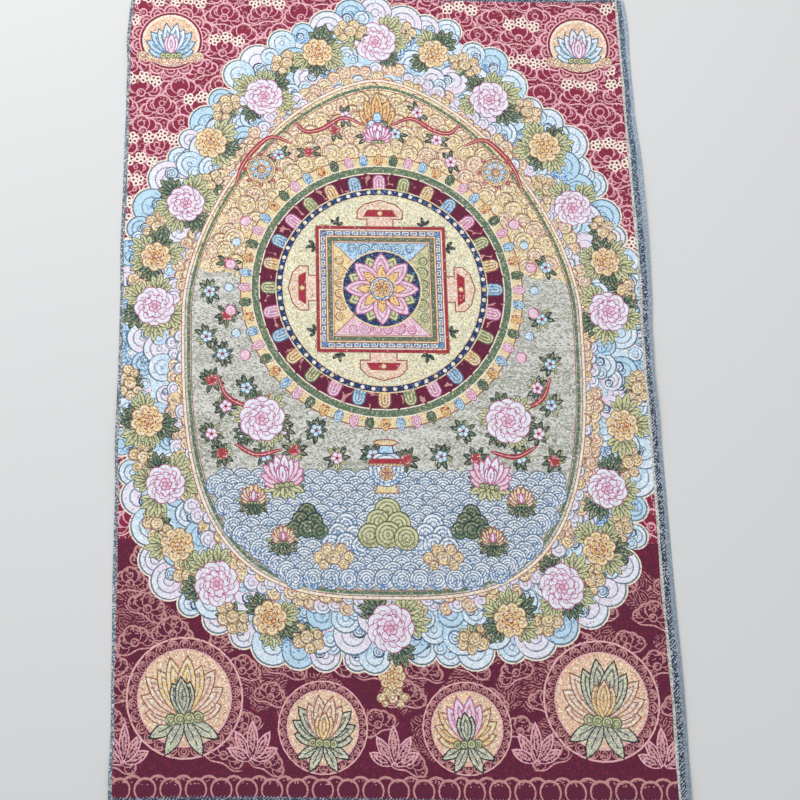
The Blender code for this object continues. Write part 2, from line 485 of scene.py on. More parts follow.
def amber_flower(pen, x, y, size=1.0, turn=0.0):
    """A yellow blossom with a ring of red dashes."""
    with pen.placed(x, y, turn):
        pen.ring("amber", 8, 0, size * 12.2, size * 6.7, line=FINE, pitch=size * 4.2)
        pen.fill(circle(0, 0, size * 11.0), "gold")
        for _ in pen.around(8, 22.5):
            pen.line(arc(0, 0, size * 9.4, 74, 103), BOLD, "scarlet", ends=0.3)
        pen.ring("amber_deep", 6, 0, size * 4.6, size * 3.3, line=FINE)
        pen.oval("cream", 0, 0, size * 2.8, line=FINE, pitch=1.9)


def sprig(pen, x, y, turn, yarn):
    """A small five-petalled blossom between four leaves."""
    with pen.placed(x, y, turn):
        for lean in (70, 110, 250, 290):
            pen.blade("leaf_dark", 1.95, 13.65, 5.72, lean)
        pen.ring(yarn, 5, 0, 4.16, 3.25, line=FINE)
        pen.fill(circle(0, 0, 1.82), "scarlet")


def gold_curls(pen, x, y, size=1.0, turn=0.0, flip=False):
    """A bank of small gilt cloud curls."""
    spots = ((-13, 0, 5.8, 1), (13, 1, 5.6, -1), (-5, 7, 6.4, 1), (7, 8, 5.4, -1),
             (0, 0, 6.6, 1), (-9, -6, 4.6, -1), (9, -6, 5.0, 1))
    with pen.placed(x, y, turn, flip):
        for dx, dy, radius, hand in spots:
            pen.oval("curl", dx * size, dy * size, radius * size, line=FINE, pitch=3.4, hand=hand)


def pearl(pen, x, y, radius, turn, glow, shade):
    """A round jewel, half in its own shade."""
    with pen.placed(x, y, turn):
        pen.oval(glow, 0, 0, radius, line=FINE)
        crescent = np.concatenate([arc(0, 0, radius * 0.86, -62, 62),
                                   arc(-radius * 0.25, 0, radius * 0.98, 48, -48)])
        pen.fill(crescent, shade)


def ribbon(pen, x, side, points):
    """A wind-blown ribbon to one side of a line: dark edges, a red band and a pale middle line."""
    path = through([(x + side * dx, y) for dx, y in points])
    pen.line(path, 6.0, "rust", ends=0.35)
    pen.line(path, 4.4, "scarlet", ends=0.3)
    pen.line(path, FINE, "pink", ends=0.5)


def scroll_cloud(pen, x, y, size, turn, rng, body, tail_yarn):
    """A lobed scroll on a red ground: crescents in each lobe, an eye and a trailing tail."""
    lobes = ((-15, -4, 8.0, 60), (15, -4, 8.0, -60), (-8.5, 2.5, 9.0, 28), (8.5, 2.5, 9.0, -28),
             (0, 6, 10.5, 0))
    with pen.placed(x, y, turn, rng.random() < 0.5):
        tail = np.array([(-24, -8), (-12, -13), (2, -11), (15, -14), (25, -10)])
        pen.line(through(tail * size, 3), 1.6, tail_yarn, ends=0.2)
        for dx, dy, radius, lean in lobes:
            pen.oval(body, dx * size, dy * size, radius * size, lean, line=1.4,
                     pitch=radius * rng.choice((0.56, 0.70, 1.10)), sway=0.75)
        pen.oval(body, 0, -3.0 * size, 5.0 * size, line=1.3, pitch=3.8, hand=1)


def floret(pen, x, y, turn):
    """A small open flower of linked rings."""
    with pen.placed(x, y, turn):
        pen.ring("floret", 5, 0, 4.6, 3.3, line=1.7)
        pen.oval("floret", 0, 0, 2.6, line=1.6)


def lotus(pen, x, y, size, turn=0.0, petals=("peach", "amber", "peony")):
    """A large lotus seen from the side, on a scalloped calyx."""
    outer, middle, inner = petals
    rows = ((outer, 80, 35), (outer, 60, 43), (outer, 40, 49), (middle, 25, 47), (middle, 9, 53))
    with pen.placed(x, y, turn):
        for yarn, lean, long in rows:
            for side in (1, -1):
                pen.blade(yarn, 0, long * size, 18 * size, side * lean, pitch=4.6)
        for lean, long in ((15, 31), (-15, 31), (0, 35)):
            pen.blade(inner, 0, long * size, 14 * size, lean, pitch=3.6)
        for dx in (-12, 12, -4.2, 4.2):
            pen.oval("leaf", dx * size, -1.5 * size, 5.4 * size, pitch=2.8)


def dharma_wheel(pen, x, y, radius):
    """An eight-spoked wheel with knobs round its rim."""
    with pen.placed(x, y):
        for _ in pen.around(8):
            pen.blade("scarlet_petal", radius * 0.8, radius * 0.4, radius * 0.28, line=FINE)
        pen.oval("curl", 0, 0, radius * 0.92, pitch=2.6)
        pen.oval("cloud_deep", 0, 0, radius * 0.68)
        for _ in pen.around(8, 22.5):
            pen.line([(0, radius * 0.2), (0, radius * 0.68)], 2.8, "rust")
            pen.line([(0, radius * 0.2), (0, radius * 0.70)], LINE, "gold")
        pen.oval("amber", 0, 0, radius * 0.28, pitch=2.2, hand=1)


def flame_jewel(pen, x, y, size):
    """Three jewels in a tongue of flame, on a lotus."""
    with pen.placed(x, y):
        for lean, long in ((40, 44), (-40, 44), (20, 56), (-20, 56), (0, 66)):
            with pen.placed(0, 6 * size, lean):
                pen.blade("amber_deep", 0, long * size, 20 * size, pitch=4.0)
        for dx, dy, body in ((-9, 14, "water"), (9, 14, "leaf_dark"), (0, 27, "cloud_deep")):
            pen.oval(body, dx * size, dy * size, 7.4 * size, stretch=2.0 * size)
            pen.fill(circle((dx - 2.4) * size, (dy + 3) * size, 1.5 * size), "cream")
    lotus(pen, x, y - 12 * size, size * 0.62, 0, ("peony_deep", "peony", "peony"))


def rock(pen, x, y, size, body):
    """A stepped rock of rounded ledges."""
    ledges = ((0, 0, 13), (-9, -10, 12), (10, -12, 12), (-17, -23, 12), (0, -22, 13), (17, -25, 12))
    for dx, dy, radius in ledges:
        pen.oval(body, x + dx * size, y + dy * size, radius * size, pitch=4.2)


def treasure_vase(pen, x, y, size):
    """A round-bellied vase with a collar, a foot and a lip."""
    with pen.placed(x, y):
        pen.outlined(taper(-29, -18, 15, 10) * size, "gold", "rust")
        pen.oval("water", 0, 0, 22 * size, pitch=4.4)
        for k in range(5):
            pen.oval("curl", (k - 2) * 8.2 * size, 6 * size, 4.4 * size, line=FINE, pitch=2.2)
        pen.outlined(taper(6, 11.5, 21.5, 19) * size, "scarlet", "rust", FINE)
        amber_flower(pen, 0, -6 * size, 0.48 * size)
        pen.outlined(taper(18, 30, 9, 7) * size, "cloud_deep", "navy")
        pen.outlined(circle(0, 31 * size, 14 * size, 0.26), "gold", "rust")


# ---------------- layout of the design

PICTURE_X = -4.75            # the picture's middle: the right margin is wider than the left
WREATH_Y = 66.0
WREATH_OUTER = np.array([296.0, 378.0, 378.0])      # reach sideways, down and up
WREATH_INNER = np.array([224.0, 316.0, 282.0])
WREATH_POWERS = (3.1, 1.66)   # squareness of the lower and of the upper half
MANDALA_Y = 92.0
MANDALA_RADIUS = 160.0
SEA_TOP = -118.0
WINE_TOP = -190.0            # the ground is wine below this and crimson above
SEED = 20

Medallion = namedtuple("Medallion", "x y size turn petals")
MEDALLIONS = (
    Medallion(-222, -372, 1.18, 6, ("peach", "amber", "sage")),
    Medallion(-78, -396, 0.90, -4, ("sage", "peach", "amber")),
    Medallion(72, -396, 0.90, 4, ("amber", "peony_deep", "sage")),
    Medallion(214, -372, 1.18, -6, ("peach", "sage", "amber")),
)

# Places round the right half of the wreath: (angle, share of the way out, size), peonies and
# yellow blossoms by turns, and then the banks of curls: (angle, share of the way out)
BLOOMS = ((90, 0.52, 1.10), (71, 0.60, 1.00), (55, 0.50, 1.00), (40, 0.62, 1.05), (27, 0.45, 0.95),
          (14, 0.58, 0.95), (1, 0.45, 1.00), (-12, 0.58, 1.00), (-25, 0.45, 0.95), (-39, 0.60, 1.00),
          (-54, 0.50, 1.05), (-71, 0.55, 1.00), (-90, 0.50, 1.10))
CURL_BANKS = ((81, 0.72), (63, 0.70), (47, 0.78), (33, 0.25), (20, 0.72), (7, 0.72), (-6, 0.82),
              (-18, 0.70), (-32, 0.74), (-47, 0.72), (-63, 0.76), (-80, 0.72))


def wreath_reach(x, y, size):
    """1 on an outline of the wreath's shape, less inside it and more beyond it."""
    upper = int(y > WREATH_Y)
    power = WREATH_POWERS[upper]
    across, up = abs(x - PICTURE_X) / size[0], abs(y - WREATH_Y) / size[1 + upper]
    return (across**power + up**power) ** (1 / power)


def wreath_share(x, y):
    """0 on the wreath's inner edge and 1 on its outer one."""
    inner, outer = wreath_reach(x, y, WREATH_INNER), wreath_reach(x, y, WREATH_OUTER)
    return (inner - 1) / max(1e-6, inner - outer)


def wreath_point(angle, share):
    """Place in the wreath at an angle in degrees, and the direction in which it faces."""
    c, s = math.cos(math.radians(angle)), math.sin(math.radians(angle))
    upper = int(s > 0)
    power = 2 / WREATH_POWERS[upper]
    across, up = (WREATH_INNER + (WREATH_OUTER - WREATH_INNER) * share)[[0, 1 + upper]]
    x = math.copysign(abs(c) ** power, c) * across
    y = math.copysign(abs(s) ** power, s) * up
    facing = math.degrees(math.atan2(y / up**2, x / across**2))
    return PICTURE_X + x, WREATH_Y + y, facing


def wreath_path(share, angles):
    return np.array([wreath_point(angle, share)[:2] for angle in angles])


def wreath_outline(share):
    return wreath_path(share, np.linspace(0, 360, 140)[:-1])


def along_wreath(share, pitch):
    """Angles that step round the wreath at an even distance."""
    strides = np.linalg.norm(np.diff(wreath_path(share, range(361)), axis=0), axis=1)
    runs = np.concatenate([[0], np.cumsum(strides)])
    count = int(runs[-1] / pitch)
    return np.interp(np.arange(count) * runs[-1] / count, runs, np.arange(361))


def inside_heart(x, y, margin, off_mandala=None):
    """Whether a point is inside the wreath by a margin, and perhaps clear of the mandala."""
    clear = off_mandala is None or (
        math.hypot(x - PICTURE_X, y - MANDALA_Y) > MANDALA_RADIUS + off_mandala)
    return wreath_reach(x, y, WREATH_INNER - margin) < 1 and clear


def scattered(left, right, low, high, pitch_x, pitch_y, jitter, rng):
    """Staggered rows of places, each moved a little."""
    row = 0
    y = high
    while y > low:
        x = left + (row % 2) * pitch_x / 2
        while x < right:
            yield x + rng.uniform(-jitter, jitter), y + rng.uniform(-jitter, jitter)
            x += pitch_x
        y -= pitch_y
        row += 1


def draw_grounds(pen):
    """The whole cloth in crimson, and its lower quarter in wine with patches of foliage."""
    half_width, half_length = pen.half_width, pen.half_length
    pen.fill(taper(-half_length, half_length, half_width, half_width), "crimson", CURLS)
    pen.fill(taper(-half_length, WINE_TOP, half_width, half_width), "flat_wine")
    rng = random.Random(SEED)
    for x, y in scattered(-half_width, half_width, -half_length + 40, -200, 66, 46, 10, rng):
        patch = scalloped(x, y, rng.uniform(20, 30), rng.choice((5, 6, 7)), 0.22)
        if wreath_share(x, y) > 0.88 and y < -225:
            pen.fill(patch, "wine", FOLIAGE)


def draw_scrolls(pen):
    """Cloud scrolls and florets on what shows of the crimson ground, and scrolls on the wine."""
    rng = random.Random(SEED)
    edge = pen.half_width + 5
    for x, y in scattered(-edge, edge, WINE_TOP, pen.half_length, 47, 25, 4, rng):
        if wreath_share(x, y) > 0.90:
            size, turn = rng.uniform(0.9, 1.1), rng.uniform(-20, 20)
            scroll_cloud(pen, x, y, size, turn, rng, "crimson_lobe", "pink")
            if rng.random() < 0.3:
                for dx, dy in ((-11, 14), (4, 17), (18, 12)):
                    floret(pen, x + dx, y + dy, rng.uniform(0, 72))
    for x, y in scattered(-edge, edge, -425, -200, 48, 30, 6, rng):
        clear = all(math.hypot(x - spot.x, y - spot.y) > 46 * spot.size for spot in MEDALLIONS)
        if wreath_share(x, y) > 0.95 and clear and rng.random() < 0.8:
            size, turn = rng.uniform(0.8, 1.0), rng.uniform(-30, 30)
            scroll_cloud(pen, x, y, size, turn, rng, "wine_lobe", "rose_line")


def draw_corner_medallions(pen):
    """A lotus on a pale medallion ringed with scrolls in each upper corner."""
    for side, petals in ((-1, ("cloud_deep", "cloud", "peony")), (1, ("cloud", "cloud_rose", "peony"))):
        with pen.placed(PICTURE_X + side * 243, 396):
            pen.ring("crimson_lobe", 14, 0, 38, 9.5, line=1.5, pitch=4.4, sway=0.7)
            for radius, yarn in ((38, "pink"), (36.6, "crimson"), (34, "cream"), (31, "halo")):
                pen.fill(circle(0, 0, radius), yarn)
            for k in range(-4, 5):
                pen.oval("peach_curl", k * 8.2, abs(k) * 1.6 - 27, 6.6, line=FINE, pitch=3.0)
            lotus(pen, 0, -18, 0.80, 0, petals)


def draw_petal_row(pen):
    """Two overlapping rows of petals along the bottom."""
    pitch, high, half_wide = 26.0, 26.0, 11.5
    base = 2 - pen.half_length
    count = int(2 * pen.half_width / pitch) + 2
    for shift, rise in ((0.5, 1.0), (0.0, 0.9)):
        middle = high * rise / 2
        for k in range(count):
            pen.oval("wine_petal", (k - 0.5 + shift) * pitch - pen.half_width, base + middle, half_wide,
                     stretch=middle - half_wide, line=1.9, sway=0.5)


def draw_lower_medallions(pen):
    """Four large lotuses on pale medallions across the wine quarter, with sprays between."""
    for x, y in ((-151, -416), (143, -416), (PICTURE_X, -420), (-284, -420), (274, -420)):
        with pen.placed(x, y):
            for lean in (-62, -31, 31, 62, 0):
                pen.blade("peach_petal", 2, 40 - abs(lean) * 0.2, 12, lean, pitch=3.4, sway=0.6)
    for x, y, size, turn, petals in MEDALLIONS:
        with pen.placed(x, y + 16 * size):
            pen.fill(circle(0, 0, 52 * size), "pink")
            pen.fill(circle(0, 0, 50.4 * size), "flat_wine")
            pen.ring("wine_lobe", 26, 0, 45.2 * size, 5.2 * size, line=1.1, pitch=2.9, sway=0.7)
            pen.fill(circle(0, 0, 42 * size), "pink")
            pen.fill(circle(0, 0, 40.6 * size), "halo")
    for x, y, size, turn, petals in MEDALLIONS:
        with pen.placed(x, y - 2):
            for lean in (118, -118, 152, -152):
                pen.blade("sage", 0, 36 * size, 13 * size, lean, rib=0.7)
        lotus(pen, x, y, size, turn, petals)
    gold_curls(pen, PICTURE_X, -352, 0.9)
    amber_flower(pen, PICTURE_X, -330, 0.8)


def draw_wreath_clouds(pen, rng):
    """Three rows of scalloped clouds, the outermost with a cream edge, and two of small curls."""
    pen.fill(wreath_outline(0.94), "cloud")
    for share, pitch, radius in ((0.92, 31, 18.0), (0.62, 30, 17.0), (0.34, 27, 15.0)):
        heads = []
        for angle in along_wreath(share, pitch):
            x, y, facing = wreath_point(angle + rng.uniform(-0.8, 0.8), share + rng.uniform(-0.09, 0.09))
            if abs(x) < 312:
                heads.append((x, y, facing - 90 + rng.uniform(-30, 30), radius * rng.uniform(0.72, 1.28)))
        if share > 0.9:
            for x, y, turn, size in heads:
                pen.fill(circle(x, y, size + 1.7), "cream")
        for x, y, turn, size in heads:
            body = rng.choice(("cloud", "cloud", "cloud_rose", "cloud_deep"))
            hand = rng.choice((-1, 1))
            pen.oval(body, x, y, size, turn, line=1.1, pitch=size * rng.uniform(0.34, 0.5), sway=0.9)
            with pen.placed(x, y, turn):
                if rng.random() < 0.6:
                    pen.oval("cloud", -hand * size * 0.62, -size * 0.35, size * 0.50, hand * 50,
                             line=1.1, pitch=size * 0.24, sway=0.9)
                if rng.random() < 0.7:
                    pen.oval("cloud_eye", hand * size * 0.30, -size * 0.22, size * 0.36, line=1.15,
                             pitch=3.0, hand=hand, sway=0.5)
    for share, pitch, radius in ((0.16, 13, 8.4), (0.02, 12, 7.4)):
        for angle in along_wreath(share, pitch):
            x, y, facing = wreath_point(angle, share + rng.uniform(-0.04, 0.04))
            body = rng.choice(("curl", "peach_curl", "cloud_rose"))
            pen.oval(body, x, y, radius * rng.uniform(0.85, 1.2), facing - 90 + rng.uniform(-40, 40),
                     line=FINE, pitch=4.4, hand=rng.choice((-1, 1)), sway=0.7)


def draw_wreath(pen):
    """Banks of clouds with peonies, yellow blossoms and leaves."""
    rng = random.Random(SEED + 1)
    draw_wreath_clouds(pen, rng)
    for flip in (False, True):
        for angle, share in CURL_BANKS:
            x, y, facing = wreath_point(180 - angle if flip else angle, share)
            for lean in (-100, 100):
                leaf_fan(pen, x, y, facing - 90 + lean + rng.uniform(-15, 15), 1.15, rng.random() < 0.5)
            gold_curls(pen, x, y, 1.12, facing - 90, flip)
        for number, (angle, share, size) in enumerate(BLOOMS):
            if flip and abs(angle) == 90:
                continue
            x, y, facing = wreath_point(180 - angle if flip else angle, share)
            bloom, reach = (amber_flower, 14 * size) if number % 2 else (peony, 19 * size)
            for k, lean in enumerate((28, 92, 150, 214, 268, 330)):
                turn = facing - 90 + lean + rng.uniform(-14, 14)
                dx, dy = -math.sin(math.radians(turn)) * reach, math.cos(math.radians(turn)) * reach
                if rng.random() < 0.75:
                    leaf_fan(pen, x + dx, y + dy, turn, rng.uniform(1.0, 1.35), (k + number) % 3 == 0)
            bloom(pen, x, y, size, facing)


def draw_heart(pen):
    """The gilt ground inside the wreath, hazy towards its foot, with its borders, curls and sprigs."""
    rng = random.Random(SEED + 2)
    edge = wreath_outline(0.0)
    pen.fill(edge, "gilt_ground")
    for x, y in scattered(-235, 235, 110, 390, 22, 13.5, 3.0, rng):
        if inside_heart(x, y, 10, 2):
            body = "curl" if rng.random() < 0.6 else "peach_curl"
            pen.oval(body, x, y, rng.uniform(9.6, 12.4), rng.uniform(-40, 40), line=FINE, pitch=5.0,
                     hand=rng.choice((-1, 1)), sway=0.7)
    across = np.linspace(-220, 220, 75)
    shore = np.stack([PICTURE_X + across, 108 + 6 * np.sin(across / 19) + 4 * np.sin(across / 7.3)], 1)
    foot = wreath_path(0.0, np.linspace(6.6, -186.6, 90))
    pen.fill(np.concatenate([shore, foot]), "haze")
    for share, width, yarn in ((0.0, 4.4, "rust"), (0.0, 2.8, "cream"), (-0.085, 3.6, "green"),
                               (-0.125, FINE, "rust")):
        pen.line(wreath_outline(share), width, yarn, closed=True)
    for x, y in scattered(-200, 200, -110, 360, 40, 27, 6, rng):
        if inside_heart(x, y, 25, 12) and y > SEA_TOP:
            if y < 100:
                for lean in (-40, 40, 180):
                    leaf_fan(pen, x, y, lean + rng.uniform(-25, 25), 0.85, rng.random() < 0.6, 3)
            sprig(pen, x, y, rng.uniform(0, 360), rng.choice(("peony", "scarlet_petal", "cloud")))


def draw_sea(pen):
    """Wave scales, rocks and lotuses at the foot of the gilt ground."""
    for x, y in scattered(-200, 200, -226, SEA_TOP, 19.0, 7.6, 0, random.Random(SEED)):
        if inside_heart(x, y, 15):
            pen.oval("water", x, y - 6, 11.6, line=1.2, pitch=3.0)
    for x, y, size, body in ((-92, -160, 0.80, "leaf_dark"), (86, -160, 0.80, "leaf_dark"),
                             (-50, -172, 0.95, "water"), (44, -172, 0.95, "water"),
                             (PICTURE_X, -158, 1.15, "leaf")):
        rock(pen, x, y, size, body)
    for x, y, size in ((-150, -150, 0.42), (141, -150, 0.42), (-118, -192, 0.38), (108, -192, 0.38)):
        leaf_skirt(pen, x, y, 1.0, (80, False), (125, True))
        lotus(pen, x, y, size)
    for x in (-64, 54):
        gold_curls(pen, x, -208, 1.2)
    for side in (-1, 1):
        x = PICTURE_X + side * 112
        leaf_skirt(pen, x, -128, 1.35, (70, True), (115, False))
        lotus(pen, x, -130, 0.66, side * -8, ("peony_deep", "peony", "peony"))


def draw_mandala(pen):
    """Nested rings, a lotus ring, and a square court with four gates round a lotus."""
    with pen.placed(PICTURE_X, MANDALA_Y):
        outer = MANDALA_RADIUS
        pen.outlined(circle(0, 0, outer), "gold", "rust")
        for k in pen.around(56):
            body = ("amber_deep", "cloud_deep", "peony_deep", "leaf_dark")[k % 4]
            pen.blade(body, outer - 13.5, 17, 11, line=FINE, pitch=2.6)
        pen.outlined(circle(0, 0, outer - 12), "green", "cream")
        pen.outlined(circle(0, 0, outer - 21), "wine", "cream")
        for _ in pen.around(28, 180 / 28):
            pen.blade("wine", outer - 45, 25, 14)
        for k in pen.around(28):
            body = ("peony_deep", "cloud_deep", "amber", "leaf")[k % 4]
            pen.oval(body, 0, outer - 33.5, 7.4, stretch=4.0, pitch=3.2)
        pen.outlined(circle(0, 0, outer - 40), "navy", "gold")
        for k in pen.around(60):
            pen.fill(circle(0, outer - 44, 2.4), "cream" if k % 5 else "amber")
        pen.outlined(circle(0, 0, outer - 48), "lime", "gold")
        draw_gates(pen, 74.0)
        draw_court(pen, 74.0)


def draw_gates(pen, half):
    """The four gates outside the mandala's square court, with curls and leaves at its corners."""
    left = np.array([(-15, -6), (-15, 9), (-26, 9), (-26, 19), (-18, 27)])
    gate = np.concatenate([left, [(0, 32)], (left * (-1, 1))[::-1]]) + (0, half)
    for k in range(4):
        with pen.placed(0, 0, k * 90):
            pen.outlined(gate, "peach", "rust")
            pen.outlined(taper(half + 12, half + 20, 19, 14), "scarlet", "rust", FINE)
            pen.line([(-12, half + 24), (0, half + 28), (12, half + 24)], LINE, "gold")
            pen.oval("amber", 0, half + 16, 3.4, line=FINE)
        with pen.placed(0, 0, k * 90 + 45):
            gold_curls(pen, 0, half * 1.28, 0.6)
            for side in (-1, 1):
                leaf_fan(pen, side * 17, half * 1.20, -side * 60, 0.62, True, 3)


def draw_court(pen, half):
    """The square court inside the mandala: its bands and fret, four quarters and a lotus."""
    for body, inset in (("scarlet", 0.0), ("cream", 3.2), ("blue", 5.4), ("gold", 11.0), ("green", 13.4),
                        ("cream", 18.0)):
        side = half - inset
        pen.outlined(taper(-side, side, side, side), body, "rust", FINE)
    key = np.array([(-3, -1.6), (-3, 1.6), (3, 1.6), (3, -1.6), (-0.6, -1.6), (-0.6, 0.2)])
    for _ in pen.around(4):
        for number in range(-6, 7):
            pen.line(key + (number * 9.6, half - 8.2), FINE, "cream")
    side = half - 19.6
    for k in pen.around(4):
        body = ("cloud_deep", "amber", "peony_deep", "leaf")[k]
        pen.outlined([(0, 0), (side, side), (-side, side)], body, "rust")
        for dx, radius in ((-33, 5.5), (-19, 7.5), (-6, 5.5), (6, 5.5), (19, 7.5), (33, 5.5)):
            pen.oval(body, dx, side - radius - 1, radius, line=FINE, pitch=2.6, hand=1 if dx > 0 else -1)
    pen.outlined(circle(0, 0, 45), "navy", "gold", BOLD)
    for body, start, foot, long, wide, drawn in (
            ("leaf", 22.5, 0, 42, 21, {"pitch": 4.0}), ("peony_deep", 0, 0, 43, 21, {"pitch": 4.4}),
            ("amber_deep", 0, 2, 27, 11, {"line": FINE})):
        for _ in pen.around(8, start):
            pen.blade(body, foot, long, wide, **drawn)
    pen.oval("water", 0, 0, 14, pitch=3.0)
    amber_flower(pen, 0, 0, 0.62)


def draw_emblems(pen):
    """Wheels, peonies, ribbons, a jewel and a vase on the gilt ground, with pearls between them."""
    for side in (-1, 1):
        x = PICTURE_X + side * 136
        ribbon(pen, x, side, ((-36, 266), (-12, 274), (8, 258), (22, 238), (30, 214)))
        dharma_wheel(pen, x, 234, 19)
        ribbon(pen, x, side, ((-10, -30), (12, -44), (38, -34), (50, -8)))
        ribbon(pen, x, side, ((-22, -92), (6, -98), (30, -86)))
        with pen.placed(x, -58):
            for lean in (20, 80, 140, 200, 260, 320):
                turn = math.radians(lean)
                leaf_fan(pen, -math.sin(turn) * 15, math.cos(turn) * 15, lean, 1.1, lean % 120 == 20)
            peony(pen, 0, 0, 1.1)
        for k in range(7):
            lean = math.radians(9 * k - 27)
            reach = MANDALA_RADIUS + 13
            glow, shade = (("peony_deep", "scarlet"), ("cloud", "green"))[k % 2]
            pearl(pen, PICTURE_X + side * reach * math.cos(lean), MANDALA_Y + reach * math.sin(lean),
                  5.6 if k % 2 else 6.6, 20 * k, glow, shade)
        ribbon(pen, PICTURE_X, side, ((14, 290), (40, 300), (64, 286), (84, 282), (98, 294)))
    flame_jewel(pen, PICTURE_X, 280, 0.76)
    treasure_vase(pen, PICTURE_X, -112, 0.92)


def draw_margins(pen, size):
    """The woven margins: headings at the ends, then speckled strip, pale line, twill and selvedge."""
    half_width, half_length = pen.half_width, pen.half_length
    wobble, fleck_pitch = 0.5, 3.4

    def strip(outer, inner, yarn):
        along = np.linspace(-half_length, half_length, 60)
        wave = wobble * np.sin(along / 37 + outer) + 0.6 * wobble * np.sin(along / 13 + inner)
        inside = np.stack([inner + wave, along], 1)
        outside = np.stack([np.full_like(along, outer), along], 1)[::-1]
        pen.fill(np.concatenate([inside, outside]), yarn)

    across = np.linspace(-half_width, half_width, 50)
    for sign, margin in ((-1, size.bottom_margin), (1, size.top_margin)):
        foot = sign * (half_length - margin / MM)
        inside = np.stack([across, wobble * np.sin(across / 31) + foot], 1)
        outside = [(half_width, sign * half_length), (-half_width, sign * half_length)]
        pen.fill(np.concatenate([inside, outside]), "twill_end")
        for x in np.arange(-half_width + 5, half_width - 14, fleck_pitch):
            pen.line([(x, foot - 1.6 * sign), (x + 2.2 * sign, foot + 1.6 * sign)],
                     0.9, "twill_fleck", ends=0.4)
    strip(-half_width, size.left_margin / MM - half_width, "speckled")
    selvedge = half_width - size.right_selvedge / MM
    margin = selvedge - size.right_margin / MM
    strip(half_width, margin - size.right_line / MM, "edge_line")
    strip(half_width, margin, "twill_side")
    strip(half_width, selvedge, "selvedge")


def draw_design(size):
    """The whole design, back to front."""
    pen = Drawing(*half_sizes(size))
    for draw in (draw_grounds, draw_scrolls, draw_corner_medallions, draw_petal_row,
                 draw_lower_medallions, draw_wreath, draw_heart, draw_sea, draw_mandala, draw_emblems):
        draw(pen)
    draw_margins(pen, size)
    return pen


# ---------------- from design to cloth

MERGE = 0.02                 # points closer than this many millimetres become one
GRID_PITCH = 14.0            # extra points that carry the swells
RIM_PITCH = 4.0              # spacing of points along the cut edges
RIM_SLACK = 0.1              # rim points nearer than this to a straight edge are put on it


def sides(cells):
    """The three edges of each triangle, as pairs of point numbers."""
    return np.concatenate([cells[:, [0, 1]], cells[:, [1, 2]], cells[:, [2, 0]]])


def edge_table(cells):
    """Every edge of a triangle list once, with the triangles on its two sides (or -1)."""
    keys = np.sort(sides(cells), axis=1)
    order = np.lexsort((keys[:, 1], keys[:, 0]))
    keys, numbers = keys[order], np.tile(np.arange(len(cells)), 3)[order]
    starts = np.flatnonzero(np.any(np.diff(keys, axis=0, prepend=-1) != 0, axis=1))
    doubled = np.diff(starts, append=len(keys)) > 1
    second = np.full(len(starts), -1)
    second[doubled] = numbers[starts[doubled] + 1]
    return keys[starts], numbers[starts], second


def rim_points(half_width, half_length):
    """Points along the four edges of the cut cloth."""
    def run(half):
        return np.linspace(-half, half, int(2 * half / RIM_PITCH) + 1)[:-1]

    across, along = run(half_width), run(half_length)
    lower = np.stack([across, np.full_like(across, -half_length)], 1)
    right = np.stack([np.full_like(along, half_width), along], 1)
    return np.concatenate([lower, right, -lower, -right])


def grid_points(half_width, half_length):
    """Staggered points inside the cut cloth."""
    spots = []
    rows = np.arange(GRID_PITCH / 2 - half_length, half_length - GRID_PITCH / 3, GRID_PITCH)
    for number, y in enumerate(rows):
        start = GRID_PITCH * (0.5 + 0.5 * (number % 2)) - half_width
        across = np.arange(start, half_width - GRID_PITCH / 3, GRID_PITCH)
        spots.append(np.stack([across, np.full_like(across, y)], 1))
    return np.concatenate(spots)


def triangulated(points, edges, faces):
    """Constrained triangles through all points, and the input faces that cover each one."""
    cut = delaunay_2d_cdt([Vector(p) for p in points], edges, faces, 0, MERGE, True)
    return np.array([v[:] for v in cut[0]]), np.array(cut[2]), cut[5]


def compacted(points, cells):
    """Only the points that the cells use, and the cells with their new numbers."""
    used, renumbered = np.unique(cells, return_inverse=True)
    return points[used], renumbered.reshape(cells.shape)


def wound(points, cells):
    """Triangles all turned anticlockwise."""
    a, b, c = np.moveaxis(points[cells], 1, 0)
    area = (b[:, 0] - a[:, 0]) * (c[:, 1] - a[:, 1]) - (b[:, 1] - a[:, 1]) * (c[:, 0] - a[:, 0])
    return np.where(area[:, None] < 0, cells[:, ::-1], cells)


def topmost(pen, middles, sources):
    """The shape on top at each triangle, passing over any that lies nowhere near it."""
    boxes = []
    for face in pen.faces:
        corners = np.array([pen.points[n] for n in face])
        boxes.append((*corners.min(axis=0), *corners.max(axis=0)))
    owners = np.zeros(len(sources), int)
    for number, ((x, y), faces) in enumerate(zip(middles.tolist(), sources)):
        for face in sorted(faces, reverse=True):
            left, low, right, high = boxes[face]
            if left <= x <= right and low <= y <= high:
                owners[number] = pen.owners[face]
                break
    return owners


